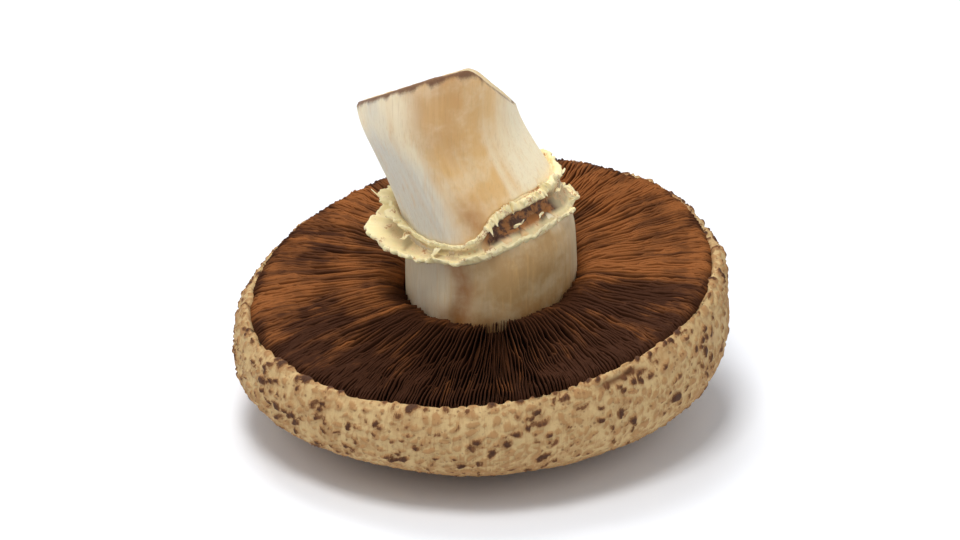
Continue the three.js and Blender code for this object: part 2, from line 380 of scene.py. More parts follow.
class MaterialKit:
    """A node material on a Principled shader. Most methods add nodes and return the last one's output."""

    def __init__(self, name, roughness, **sockets):
        self.material = bpy.data.materials.new(name)
        self.material.use_nodes = True
        self.nodes = self.material.node_tree.nodes
        self.links = self.material.node_tree.links
        self.shader = self.nodes["Principled BSDF"]
        self.shader.inputs["Roughness"].default_value = roughness
        for socket, value in sockets.items():
            self.shader.inputs[socket.replace("_", " ")].default_value = value
        self.where = self.add("TexCoord", "Object", {})

    def wire(self, source, socket):
        """Links an output, or sets a plain number, point or colour, a colour gaining its alpha."""
        if isinstance(source, bpy.types.NodeSocket):
            self.links.new(source, socket)
        elif isinstance(source, (int, float)):
            socket.default_value = source
        else:
            socket.default_value = (*source, 1)[: len(socket.default_value)]

    def add(self, kind, output, sources, **settings):
        """Adds a node, fills its inputs from sources, keyed by name or place, and returns an output."""
        node = self.nodes.new("ShaderNode" + kind)
        for key, setting in settings.items():
            setattr(node, key, setting)
        for key, source in sources.items():
            self.wire(source, node.inputs[key])
        return node.outputs[output]

    def vector(self, operation, *sources, output="Vector"):
        """Arithmetic on points."""
        return self.add("VectorMath", output, dict(enumerate(sources)), operation=operation)

    def times(self, first, second):
        """The product of two numbers."""
        return self.add("Math", "Value", {0: first, 1: second}, operation="MULTIPLY")

    def plus(self, base, share, extra):
        """A number and a share of another."""
        return self.add("Math", "Value", {0: extra, 1: share, 2: base}, operation="MULTIPLY_ADD")

    def stretched(self, x, y, z):
        """Object coordinates, scaled to make a pattern finer along an axis."""
        return self.vector("MULTIPLY", self.where, (x, y, z))

    def radial(self, across, along):
        """Coordinates for streaks that run out from the object's axis, about across metres wide at 50 mm
        from the axis and along metres long: the heading on a circle, and the distance less the height."""
        flat = self.vector("MULTIPLY", self.where, (1, 1, 0))
        heading = self.vector("NORMALIZE", flat)
        distance = self.vector("LENGTH", flat, output="Value")
        height = self.vector("DOT_PRODUCT", self.where, (0, 0, 1), output="Value")
        outwards = self.add("CombineXYZ", "Vector", {"Z": self.plus(distance, -1.0, height)})
        steps = self.vector("MULTIPLY", outwards, (0, 0, 1 / along))
        widths = 50 * MM / across
        return self.vector("MULTIPLY_ADD", heading, (widths, widths, 0), steps)

    def clouds(self, size, detail=4, rough=0.55, vector=None):
        """Fractal noise whose coarsest lumps are about size across, in metres or steps of a vector."""
        sources = {"Vector": vector or self.where, "Scale": 1 / size, "Detail": detail, "Roughness": rough}
        return self.add("TexNoise", "Fac", sources)

    def cells(self, size):
        """Distance to the nearest of many scattered seeds that are about size metres apart."""
        return self.add("TexVoronoi", "Distance", {"Vector": self.where, "Scale": 1 / size})

    def value(self, attribute):
        """A number stored on the mesh's vertices."""
        return self.add("Attribute", "Fac", {}, attribute_name=attribute)

    def between(self, source, *ends):
        """Maps a source on a smooth curve. The ends are the low and high source, and the numbers that
        they become, which are 0 and 1 if left out."""
        sources = dict(enumerate((source, *ends)))
        return self.add("MapRange", "Result", sources, interpolation_type="SMOOTHSTEP")

    def layer(self, under, tint, source, *ends):
        """A colour laid over another, with a share that follows source on a smooth curve."""
        return self.mix(self.between(source, *ends), under, tint)

    def mix(self, share, first, second):
        """The first colour with a share of the second laid over it."""
        return self.add("Mix", 2, {0: share, 6: first, 7: second}, data_type="RGBA")

    def relief(self, height, depth, strength):
        """Bumps the surface by a height from 0 to 1 that stands for depth metres."""
        sources = {"Distance": depth, "Strength": strength, "Height": height}
        normal = self.shader.inputs["Normal"]
        if normal.is_linked:
            sources["Normal"] = normal.links[0].from_socket
        self.links.new(self.add("Bump", "Normal", sources), normal)

    def paint(self, source):
        """Sends a colour to the shader and returns the finished material."""
        self.wire(source, self.shader.inputs["Base Color"])
        return self.material


# ---- cap


def cap_profile(shape):
    """The cap's profile as radius, height, outward normal, share of the way to the margin, and skin: a
    superellipse for the crown, a quarter ellipse for the margin and the flesh's top, each sampled
    finely and then taken at steps along its length, closer together near the margin."""
    turn = np.linspace(0, math.pi / 2, 600)
    power = 2 / 2.5
    crown = joined(
        shape.cap_radius * np.sin(turn) ** power, shape.widest_height * (1 - np.cos(turn) ** power)
    )
    margin = joined(
        shape.cap_radius - shape.margin_turn_in * (1 - np.cos(turn)),
        shape.widest_height + (shape.rim_height - shape.widest_height) * np.sin(turn),
    )[1:]
    share = np.linspace(1, 0, 400)
    lip_thickness = 1.2 * MM
    inside = shape.cap_radius - shape.margin_turn_in - lip_thickness
    flesh = joined(inside * share, flesh_height(shape, share))
    to_edge = np.concatenate([np.linspace(0, 0.5, 45)[1:], np.linspace(0.5, 1, 92)[1:]])
    rows = []
    for line, steps in ((np.vstack([crown, margin]), to_edge), (flesh, np.linspace(0, 0.96, 8))):
        along = np.concatenate([[0], np.cumsum(np.linalg.norm(np.diff(line, axis=0), axis=1))])
        rows.append(np.stack([np.interp(steps * along[-1], along, line[:, k]) for k in (0, 1)], -1))
    profile = np.vstack(rows)
    run = np.gradient(profile, axis=0)
    run /= np.linalg.norm(run, axis=1, keepdims=True)
    normal = np.stack([run[:, 1], -run[:, 0]], -1)
    skin = np.concatenate([np.ones(len(rows[0])), np.zeros(len(rows[1]))])
    return profile[:, 0], profile[:, 1], normal, np.append(to_edge, np.ones(len(rows[1]))), skin


def skin_cracks(angle, to_edge, points):
    """Two numbers: above 0 on a scale of the skin, and above 0 on a dark fleck in a scale's middle.
    Scales are cracked cells, longer along the radius on the crown than near the margin. Their borders
    open with the distance from the crown, and a slow noise opens some places more than others."""
    rows = 8 * to_edge + 10 * to_edge**3
    wander = np.stack([noise(points / (3 * MM), seed) for seed in (11, 12, 13)], -1)
    place = around(angle, 22, rows) + 0.5 * wander
    border, middle, tone = cracked_cells(place, seed=5)
    patchy = rough_noise(points / (15 * MM), 3, seed=21)
    fine = rough_noise(points / (1.5 * MM), 2, seed=31)
    opening = 0.30 * ease(0.25, 0.95, to_edge + 0.25 * patchy) - 0.08
    scale = border + 0.16 * fine - opening
    speckled = ease(0.52, 0.78, to_edge + 0.12 * patchy)
    clusters = noise(points / (4.5 * MM), seed=33)
    fleck = speckled * (0.12 + 0.36 * tone**1.4 + 0.22 * clusters) + 0.15 * fine - middle
    return scale, fleck


def make_cap(shape, tint):
    """The cap: a thick dome with cracked, scaly skin and a ragged margin that curls over the gills."""
    columns = 680
    radius, height, normal, to_edge, skin = (a[:, None] for a in cap_profile(shape))
    normal = normal[:, 0]
    angle = full_turn(columns)
    upright = around(angle, radius, height)
    scale, fleck = skin_cracks(angle, to_edge, upright)
    raised = ease(-0.05, 0.14, scale) + 0.6 * ease(-0.04, 0.08, fleck)
    cracked = ease(0.15, 0.5, to_edge)
    lumps = 0.6 * MM * rough_noise(upright / (17 * MM), 2, seed=41)
    puckers = 0.25 * MM * cracked * rough_noise(upright / (4 * MM), 2, seed=61)
    pores = 0.06 * MM * noise(upright / (1.0 * MM), seed=51)
    fold = lip_fold(angle, to_edge)
    scaly = shape.scale_relief * cracked * (raised - 0.7)
    relief = (scaly + lumps + puckers + pores - 0.7 * MM * fold) * skin

    ragged = ease(0.9, 1, to_edge) * skin
    tatter = rough_noise(around(angle, 22), 3, seed=71)
    bulges = rough_noise(around(angle, 7), 2, seed=75)
    behind = ease(-0.3, 0.75, facing(angle, LOW_MARGIN_AT))
    reach = radius + relief * normal[:, :1] + ragged * MM * (0.55 * tatter + 0.5 * bulges)
    rise = height + relief * normal[:, 1:] + ragged * MM * (0.45 * bulges + 0.3 * tatter - 1.9 * behind)
    reach = reach * outline_wave(angle)
    points = settle(shape, around(angle, reach, rise))

    poles = settle(shape, np.array([[0, 0, 0], [0, 0, flesh_height(shape, 0)]]))
    values = with_poles(
        points.shape[:2], scale=(scale, 1, 1), fleck=(fleck, -1, -1), to_edge=(to_edge, 0, 1),
        fold=(fold, 0, 0), skin=(skin, 1, 0),
    )
    vertices, faces = closed_tube(points, poles)
    return add_piece("mushroom_cap", vertices, faces, values, cap_skin(tint), "cap")


def lip_fold(angle, to_edge):
    """A fold under the margin's lip at the front right, from 0 to 1: a narrow bell round a level that
    wanders, times a window in the angle."""
    level = 0.962 + 0.010 * noise(around(angle, 6), seed=81)
    aside = turned_from(angle, FOLD_AT) + 0.05 * noise(around(angle, 12), seed=82)
    return (1 - ease(0.04, 0.16, aside)) * bell(to_edge, level, 0.010)


def cap_skin(tint):
    """Tan skin that breaks into scales with dark dry tips, over cream flesh, with painted shade in the fold
    under the margin's lip.
    """
    kit = MaterialKit(
        "Cap skin", 0.75, Specular_IOR_Level=0.25, Subsurface_Weight=0.05, Subsurface_Scale=0.002,
        Subsurface_Radius=(1.0, 0.6, 0.35),
    )
    patches = kit.clouds(13 * MM, 5, 0.6)
    blotches = kit.clouds(2.4 * MM, 4, 0.65)
    grain = kit.clouds(0.4 * MM, 3, 0.6)
    to_edge = kit.value("to_edge")
    whole = kit.layer(tint.crown, tint.scale, patches, 0.38, 0.64)
    scale_tone = kit.layer(tint.scale, tint.crown, blotches, 0.38, 0.66, 0, 0.9)
    side_share = kit.between(kit.plus(to_edge, 0.3, patches), 0.55, 0.85)
    skin = kit.mix(side_share, whole, scale_tone)
    fibrils = kit.clouds(1, 3, 0.6, kit.radial(0.55 * MM, 4 * MM))
    frayed_scale = kit.plus(kit.value("scale"), 0.34, fibrils)
    ragged_scale = kit.plus(frayed_scale, 0.15, grain)
    on_scale = kit.between(ragged_scale, 0.15, 0.39)
    cream = kit.layer(tint.ground, tint.scale, blotches, 0.42, 0.7, 0, 0.75)
    cream = kit.layer(cream, tint.scale, patches, 0.5, 0.68, 0, 0.5)
    skin = kit.mix(on_scale, cream, skin)
    skin = kit.layer(skin, tint.crown, fibrils, 0.5, 0.72, 0, 0.45)
    skin = kit.layer(skin, tint.ground, fibrils, 0.3, 0.46, 0.3, 0)
    seeds = kit.plus(kit.cells(1.5 * MM), 0.35, grain)
    dots = kit.times(kit.between(seeds, 0.34, 0.46, 1, 0), kit.between(to_edge, 0.5, 0.8, 0, 0.6))
    skin = kit.mix(kit.times(dots, kit.between(blotches, 0.4, 0.55)), skin, tint.fleck)
    frayed_fleck = kit.plus(kit.value("fleck"), 0.34, fibrils)
    ragged_fleck = kit.plus(frayed_fleck, 0.26, grain)
    skin = kit.layer(skin, tint.crown, ragged_fleck, 0.02, 0.32, 0, 0.75)
    skin = kit.layer(skin, tint.fleck, ragged_fleck, 0.25, 0.36, 0, 0.92)
    skin = kit.layer(skin, tint.fleck_core, ragged_fleck, 0.38, 0.48, 0, 0.85)
    skin = kit.layer(skin, tint.crown, grain, 0.56, 0.78, 0, 0.35)
    # Painted shade: the fold under the margin's lip is darkened with the fleck colour.
    skin = kit.mix(kit.times(kit.value("fold"), 0.95), skin, tint.fleck)
    skin = kit.mix(kit.value("skin"), tint.gill, skin)
    kit.relief(fibrils, 0.15 * MM, 0.45)
    kit.relief(grain, 0.1 * MM, 0.5)
    kit.relief(on_scale, 0.1 * MM, 0.5)
    return kit.paint(skin)


# ---- gills


def gill_edge(shape, angle, outwards):
    """Height of the gills' free edge: a low arch that falls to the margin and dips beside the stem."""
    arch = 0.9 * MM * np.sqrt(np.maximum(1 - outwards**4, 0))
    collar = 1.4 * MM * (1 - ease(0.0, 0.16, outwards))
    uneven = 0.5 * MM * rough_noise(around(angle, 2.5, 3 * outwards), 2, seed=101)
    return shape.rim_height + arch - collar + uneven


def gill_place(shape, angle, outwards, height):
    """Points among the gills: an angle, a share of the way from the stem to the margin, a height."""
    gap = 0.4 * MM
    rim = shape.cap_radius - shape.margin_turn_in - gap
    radius = shape.gill_inner + (rim - shape.gill_inner) * outwards
    reach = radius * (1 + (outline_wave(angle) - 1) * outwards)
    x = reach * np.cos(angle) + shape.stem_foot[0] * (1 - outwards)
    y = reach * np.sin(angle) + shape.stem_foot[1] * (1 - outwards)
    return joined(x, y, height)


def gill_blades(shape, first_angle, count, start, stations):
    """Thin upright blades, as points of shape (blade, station, corner of the section), tones and depths.
    Each follows a wandering line outwards and leans with its neighbours in clumps, and its edge is a
    little uneven. The section is a tall wedge: two feet, two shoulders and a tip."""
    turn = ((first_angle + np.arange(count)) / count * FULL_TURN)[:, None, None]
    luck, chance = (scatter(joined(np.arange(count), stations, k), 9)[:, None, None] for k in (3, 4))
    begin = start + (0.26 * (chance - 0.5) if start else 0.015 * chance)
    along = np.linspace(0, 1, stations)[None, :, None]
    outwards = begin + (1 - begin) * along
    flow = around(turn, 5, 1.6 * outwards)
    sheaf = rough_noise(around(turn, 11, 1.5 * outwards), 3, seed=107)
    clumps = 0.024 * rough_noise(2.1 * flow, 2, seed=111) + 0.014 * noise(0.6 * flow, seed=113)
    angle = turn + clumps * (0.25 + outwards)
    side = np.array([-1, -0.75, 0, 0.75, 1])
    drop = np.array([4.2, 0.45, 0, 0.45, 4.2]) * MM
    deep = drop / drop.max()
    thickness = 0.12 * MM * (0.8 + 0.5 * luck)
    lean = 0.6 * MM * rough_noise(3.3 * flow, 2, seed=121) * (1 - deep)
    uneven = 0.3 * MM * (noise(joined(turn * 90, 14 * along, 0), 131) - luck) + 0.5 * MM * sheaf
    root, climb = (2.6, 0.4) if start else (0.5, 0.04)
    shorter = root * MM * (1 - ease(0, climb, along)) + 0.6 * MM * ease(0.95, 1, along)
    radius = shape.gill_inner + (shape.cap_radius - shape.gill_inner) * outwards
    height = gill_edge(shape, angle, outwards) + uneven - shorter - drop
    points = gill_place(shape, angle + (side * thickness + lean) / radius, outwards, height)
    # Painted shade and light in the tone: darker at the front, where the stem's shadow falls, and at the
    # outer ends, and redder at the back right, where light catches the faces.
    painted_shade = 0.75 * ease(0.1, 0.95, facing(turn, SHADED_GILLS_AT))
    red_share = 0.3 * ease(0.3, 1.0, facing(turn, LIT_GILLS_AT))
    tone = 0.3 + 0.45 * luck + 0.6 * sheaf + red_share - painted_shade - 0.45 * ease(0.92, 1, outwards)
    return points, *(np.broadcast_to(number, points.shape[:3]) for number in (tone, deep))


def gill_bed(shape):
    """The ring at the bottom of the gaps between gills, as a closed ring of 7 rows, which the gills' material
    paints dark as shade.
    """
    angle = full_turn(256)
    outwards = np.array([0.02, 0.02, 0.35, 0.7, 0.99, 0.99, 0.5])[:, None]
    below = np.array([6.5, 3.0, 3.0, 3.0, 2.4, 3.6, 8.0])[:, None] * MM
    return gill_place(shape, angle, outwards, gill_edge(shape, angle, outwards) - below)


def make_gills(shape, tint):
    """The gills: long blades, with shorter ones between them from part of the way out."""
    bed = gill_bed(shape)
    # The bed gets full depth, so it is coloured darkest: painted shade at the bottom of the gaps.
    points, tones, deeps = [bed], [np.full(bed.shape[:2], 0.2)], [np.ones(bed.shape[:2])]
    faces = [ring_quads(*bed.shape[:2], closed=True)[:, ::-1]]
    for first_angle, times, start, stations in ((0, 1, 0, 14), (0.5, 1, 0.34, 12), (0.25, 2, 0.62, 10)):
        blades, tone, deep = gill_blades(shape, first_angle, shape.blades * times, start, stations)
        faces += strip_faces(*blades.shape[:3], sum(done.size for done in tones))
        points.append(blades)
        tones.append(tone)
        deeps.append(deep)
    settled = settle(shape, np.vstack([part.reshape(-1, 3) for part in points]))
    values = {"tone": np.hstack([t.ravel() for t in tones]), "deep": np.hstack([d.ravel() for d in deeps])}
    return add_piece("mushroom_gills", settled, faces, values, gill_tissue(tint), "gills")


def gill_tissue(tint):
    """Chocolate brown, redder in patches, and dusted with spores. Painted light makes the free edges redder,
    and painted shade darkens the blades and the bed deep between the gills.
    """
    kit = MaterialKit("Gill tissue", 0.75, Specular_IOR_Level=0.15)
    patches = kit.clouds(14 * MM, 3, 0.6)
    speckle = kit.clouds(0.8 * MM, 3, 0.6)
    tone = kit.plus(kit.value("tone"), 1.0, kit.between(patches, 0.36, 0.66, -0.25, 0.45))
    # Painted light and shade: the red share is highest at the free edges and falls towards the bottom of the
    # gaps.
    painted_depth_light = kit.between(kit.value("deep"), 0.0, 0.6, 1.0, 0.2)
    red_share = kit.times(kit.between(tone, -0.05, 1.1), painted_depth_light)
    shade = kit.mix(red_share, tint.gill, tint.gill_rust)
    shade = kit.layer(shade, tint.spores, speckle, 0.5, 0.8, 0, 0.4)
    kit.relief(speckle, 0.08 * MM, 0.5)
    return kit.paint(shade)


# ---- stem

# The two planes that trim the stem, each as a point and an upward normal.
KNIFE_CUT = (np.array([-26.6, 3, 72.1]) * MM, (-0.29, 0.36, 0.885))
SHOULDER_CUT = (np.array([-1.9, 3, 80.1]) * MM, (0.62, 0.28, 0.73))


def cut_planes(points):
    """Heights of the knife cut and of the shoulder cut over or under each point."""
    heights = []
    for point, normal in (KNIFE_CUT, SHOULDER_CUT):
        aside = (points[..., 0] - point[0]) * normal[0] + (points[..., 1] - point[1]) * normal[1]
        heights.append(point[2] - aside / normal[2])
    return heights


def cut_height(points):
    """The lower of the knife cut and the shoulder cut, with the crease between them rounded:
    the smaller of two numbers, lowered where they are close."""
    knife_cut, shoulder_cut = cut_planes(points)
    width = 2.0 * MM
    near = np.maximum(width - np.abs(knife_cut - shoulder_cut), 0) / width
    return np.minimum(knife_cut, shoulder_cut) - near**2 * width / 4


def stem_relief(angle, height):
    """Height of the stem's surface over its smooth form: upright fibres, soft flutes and lumps, less
    the tear under the veil's upper lip and the crease in the foot."""
    level = height / (10 * MM)
    fibres = 0.13 * MM * rough_noise(around(angle, 26, 0.6 * level), 2, seed=201)
    flutes = 0.45 * MM * noise(around(angle, 4.2, 0.3 * level), seed=203)
    lumps = 0.4 * MM * rough_noise(around(angle, 1.6, 0.8 * level), 2, seed=205)
    dents = 0.8 * MM * stem_crease(angle, height) + 1.5 * MM * stem_tear(angle, height)
    return fibres + flutes + lumps - dents


def stem_crease(angle, height):
    """A dark upright crease on the front of the foot, below the veil: a narrow bell round a bearing that
    wanders with the height."""
    middle = math.radians(CREASE_AT) + 0.05 * np.sin(height / (3 * MM))
    below = 1 - ease(12 * MM, 15 * MM, height)
    return below * bell(angle, middle, 0.14)


def stem_tear(angle, height):
    """Where the skin has torn off under the veil's upper lip: a patch with soft ragged borders."""
    lower, upper = veil_lips(angle)
    ragged = 0.9 * MM * noise(around(angle, 9, height / (3 * MM)), seed=207)
    over_lower = ease(0, 1.6 * MM, height - lower[1] + ragged)
    under_upper = ease(0, 1.6 * MM, upper[1] - height)
    return over_lower * under_upper * window(angle, TEAR_AT, 26, 40)


def stem_side(shape, angle, rows):
    """The stem's side from its foot to the cuts, and each point's height over the gill plane.
    Each column's top slides along the leaning side until it meets the cut; the edge there is worn."""
    first_guess = 44 * MM
    top = np.full_like(angle, first_guess)
    for _ in range(12):
        at_top = settle(shape, beside_stem(shape, angle, 0, top))
        top = top + 0.8 * (cut_height(at_top) - at_top[..., 2])
    up = np.linspace(0, 1, rows)[:, None]
    height = STEM_LEVELS[0] + (top - STEM_LEVELS[0]) * up
    worn = 0.5 * MM * ease(1 - 0.9 * MM / (top - STEM_LEVELS[0]), 1, up)
    relief = stem_relief(angle + 0 * up, height) - worn
    return settle(shape, beside_stem(shape, angle, relief, height)), height


def cut_face(edge, rows):
    """The cut end as rings from the edge inwards, its middle, and each ring's share of the way out.
    The face dishes a little where its core has shrunk, and keeps faint marks of the knife."""
    middle = edge.mean(0)
    inwards = np.linspace(0, 1, rows + 2)[1:-1, None, None]
    face = edge[None] + (middle - edge)[None] * inwards
    share = 1 - inwards[..., 0]
    knife_marks = 0.05 * MM * np.sin(face[..., 0] / (0.55 * MM) + face[..., 1] / (1.9 * MM))
    core = ease(0, 0.35, 0.4 - share)
    dish = 0.55 * MM * (1 - ease(0.55, 0.85, share)) - 0.35 * MM * core
    face[..., 2] = cut_height(face) - dish + knife_marks
    face[..., 2] += 0.12 * MM * rough_noise(face / (1.8 * MM), 2, seed=211)
    return face, middle, share


def browned_edge(angle, edge, drop, share):
    """How much the cut's edge has browned: most at the front left, where the knife cut is, and down to an
    uneven depth of the side. drop is the distance below the edge, and share the share of the way out."""
    knife_cut, shoulder_cut = cut_planes(edge)
    knife = ease(-3 * MM, 1 * MM, shoulder_cut - knife_cut)
    front_left = ease(-0.4, 0.5, facing(angle, BROWNED_CUT_AT))
    uneven = rough_noise(around(angle, 8), 3, seed=213)
    depth = (1.3 + 1.0 * uneven) * MM
    near = np.vstack([np.exp(-drop / depth), np.exp(-(1 - share) * 30) + 0 * angle])
    return near * (0.5 + 0.5 * knife * front_left + 0.3 * uneven)


def make_stem(shape, tint):
    """The stem: a leaning fibrous trunk. Each column of points runs up the side to the knife cut, turns
    over a small worn edge, and runs in over the cut face to its middle."""
    columns, side_rows, face_rows = 384, 190, 39
    angle = full_turn(columns)
    side, height = stem_side(shape, angle, side_rows)
    face, middle, share = cut_face(side[-1], face_rows)
    points = np.vstack([side, face])
    pole = [middle[0], middle[1], cut_height(middle[None])[0] - 0.4 * MM]
    turned = np.broadcast_to(angle, points.shape[:2])
    levels = np.vstack([height, np.broadcast_to(height[-1:], face.shape[:2])])
    on_cut = np.repeat([0, 1], [side_rows, face_rows])[:, None]
    wander = 0.09 * rough_noise(points / (5 * MM), 3, seed=215)
    tan, rust, warm = stem_stains(turned, levels)
    values = with_poles(
        points.shape[:2],
        tan=(tan, 0.5, 0.5),
        rust=(rust, 0, 0),
        warm=(warm, 0, 0),
        foot=(1 - ease(13 * MM, 18 * MM, levels), 1, 0),
        cut=(on_cut, 0, 1),
        out=(np.vstack([np.ones((side_rows, 1)), share]) + wander, 1, 0),
        near_cut=(browned_edge(angle, side[-1], height[-1] - height, share), 0, 0),
        # low marks the foot among the gills, which gets painted shade.
        low=(1 - ease(-3 * MM, 4 * MM, levels), 1, 0),
        # tear marks the torn patch, coloured as torn tissue and as painted shade in its cavity.
        tear=(stem_tear(turned, levels), 0, 0),
    )
    vertices, faces = closed_tube(points, [side[0].mean(0), pole])
    return add_piece("mushroom_stem", vertices, faces, values, stem_flesh(tint), "stem")


def stem_stains(angle, height):
    """Where the stem is tan, rust-stained, and of a warm paleness, from 0 to 1, by angle and height.
    Tan fills a band at the front, wider under the veil, and a patch at the back. Rust fills two spots
    at the front, over the veil, and the crease. The paleness is coolest and greyest at the front left:
    painted cool light and shade."""
    patchy = rough_noise(around(angle, 2.6, height / (14 * MM)), 3, seed=221)
    streaky = rough_noise(around(angle, 9, height / (30 * MM)), 2, seed=223)
    # The front band's middle and half-width in degrees, at heights over the gill plane.
    levels = np.array([0, 13, 20, 32, 46]) * MM
    middle = np.interp(height, levels, [300, 300, 274, 284, 292])
    half_width = np.radians(np.interp(height, levels, [52, 50, 20, 28, 40]))
    aside = turned_from(angle, middle)
    tan = 1 - ease(-0.45, 0.4, aside - half_width + 0.3 * patchy + 0.25 * streaky)
    tan = np.maximum(tan, 0.7 * (1 - ease(0.3, 1.0, turned_from(angle, BACK_TAN_AT) + 0.5 * patchy)))
    low_spot = bell(height, 22 * MM, 6 * MM) * bell(turned_from(angle, LOW_RUST_AT), 0, 0.2)
    high_spot = ease(30 * MM, 44 * MM, height) * bell(turned_from(angle, HIGH_RUST_AT), 0, 0.45)
    creased = stem_crease(angle, height) * (1.1 + 0.5 * patchy)
    rust = np.clip(0.75 * low_spot + 0.5 * high_spot * (0.8 + patchy) + creased, 0, 1)
    top, foot = ease(32 * MM, 44 * MM, height), 1 - ease(8 * MM, 17 * MM, height)
    # Painted cool light and shade: the skin turns greyer towards the front left.
    warm = turned_from(angle, COOL_SKIN_AT) + 0.5 * patchy + 0.8 * top + 0.7 * foot
    return tan, rust, ease(0.3, 1.2, warm)


def stem_flesh(tint):
    """Pale fibrous skin with tan and rust stains, painted cool light and shade on its front left, painted
    shade at its foot, and a browned cut face with a growth ring.
    """
    kit = MaterialKit(
        "Stem flesh", 0.58, Subsurface_Weight=0.15, Subsurface_Scale=0.003, Subsurface_Radius=(1.0, 0.7, 0.45)
    )
    fibres = kit.clouds(1.0 * MM, 4, 0.65, kit.stretched(1, 1, 0.09))
    clouds = kit.clouds(6 * MM, 4, 0.6)
    grain = kit.clouds(0.35 * MM, 3, 0.6)
    soft_tan = kit.times(kit.value("tan"), kit.between(clouds, 0.3, 0.6, 0.6, 1.0))
    # The grey share is painted cool light and shade on the front-left side.
    pale = kit.mix(kit.value("warm"), tint.stem, tint.stem_cream)
    pale = kit.mix(kit.times(kit.value("foot"), 0.3), pale, tint.stem_khaki)
    brown = kit.mix(kit.value("foot"), tint.stem_tan, tint.stem_khaki)
    skin = kit.mix(soft_tan, pale, brown)
    skin = kit.layer(skin, tint.stem_tan, fibres, 0.5, 0.72, 0, 0.3)
    red_share = kit.times(kit.value("rust"), kit.between(clouds, 0.3, 0.6, 0.5, 0.9))
    skin = kit.mix(red_share, skin, tint.stem_rust)
    # Painted shade: the stem's foot, down among the gills, is darkened with rust brown.
    painted_shade = kit.times(kit.value("low"), kit.between(clouds, 0.3, 0.7, 0.2, 0.7))
    skin = kit.mix(painted_shade, skin, tint.stem_rust)
    # The torn patch under the veil's upper lip: brown torn tissue with spore colour, which also paints the
    # shade in its cavity.
    flakes = kit.clouds(1.6 * MM, 3, 0.6)
    torn = kit.layer(tint.spores, tint.stem_rust, flakes, 0.42, 0.6)
    skin = kit.layer(skin, torn, kit.value("tear"), 0.1, 0.75)
    out = kit.value("out")
    ring = kit.times(kit.between(out, 0.70, 0.80), kit.between(out, 0.80, 0.88, 1.0, 0.0))
    face = kit.mix(kit.times(ring, 0.32), tint.cut, tint.stem_khaki)
    face = kit.layer(face, tint.stem, out, 0.1, 0.8, 0.5, 0)
    face = kit.layer(face, tint.stem_tan, clouds, 0.45, 0.7, 0, 0.55)
    pith = kit.clouds(0.8 * MM, 4, 0.7)
    face = kit.layer(face, tint.stem_khaki, pith, 0.5, 0.66, 0, 0.5)
    skin = kit.mix(kit.value("cut"), skin, face)
    worn = kit.plus(kit.value("near_cut"), 0.3, grain)
    skin = kit.layer(skin, tint.cut_rim, worn, 0.38, 0.85, 0, 0.93)
    threads = kit.clouds(0.3 * MM, 3, 0.6, kit.stretched(1, 1, 0.06))
    skin = kit.layer(skin, tint.stem_khaki, threads, 0.5, 0.7, 0, 0.2)
    kit.relief(fibres, 0.35 * MM, 0.5)
    kit.relief(threads, 0.1 * MM, 0.5)
    kit.relief(grain, 0.06 * MM, 0.5)
    return kit.paint(skin)


# ---- veil ring

# Each row is a bearing in degrees, then in millimetres the lower lip's offset from the stem and its
# height over the gill plane, and the upper lip's offset and height.
VEIL_LIPS = np.array([
    [0, 2.3, 15.8, 2.4, 23.6],
    [40, 2.6, 15.6, 1.6, 21.6],
    [90, 3.2, 14.6, 1.8, 19.6],
    [140, 3.6, 13.6, 1.8, 18.4],
    [168, 6.4, 13.6, 2.8, 19.0],
    [186, 9.8, 15.6, 4.4, 19.8],
    [204, 7.4, 13.6, 2.4, 18.0],
    [224, 4.2, 13.4, 1.2, 16.8],
    [246, 2.9, 13.8, 0.9, 16.6],
    [264, 2.5, 14.2, 0.9, 17.4],
    [276, 1.4, 15.4, 1.2, 21.0],
    [290, 0.8, 16.4, 1.5, 24.2],
    [312, 0.8, 16.8, 1.9, 24.8],
    [332, 1.0, 17.0, 2.2, 24.4],
    [346, 1.7, 16.4, 2.6, 24.4],
])


def veil_lips(angle):
    """Offset and height of the veil's lower lip and of its upper lip, at each angle.
    Straight stretches between the table's rows, rounded off by averaging over nearby angles."""
    nearby = math.radians(3) * np.arange(-3, 4)
    turn, table = np.radians(VEIL_LIPS[:, 0]), VEIL_LIPS[:, 1:] * MM
    spread = angle[..., None] + nearby
    columns = [np.interp(spread, turn, column, period=FULL_TURN).mean(-1) for column in table.T]
    return columns[:2], columns[2:]


# How many points the section has from knot to knot, and which knot is the bottom of the groove.
KNOT_STEPS = 4
GROOVE_KNOT = 9


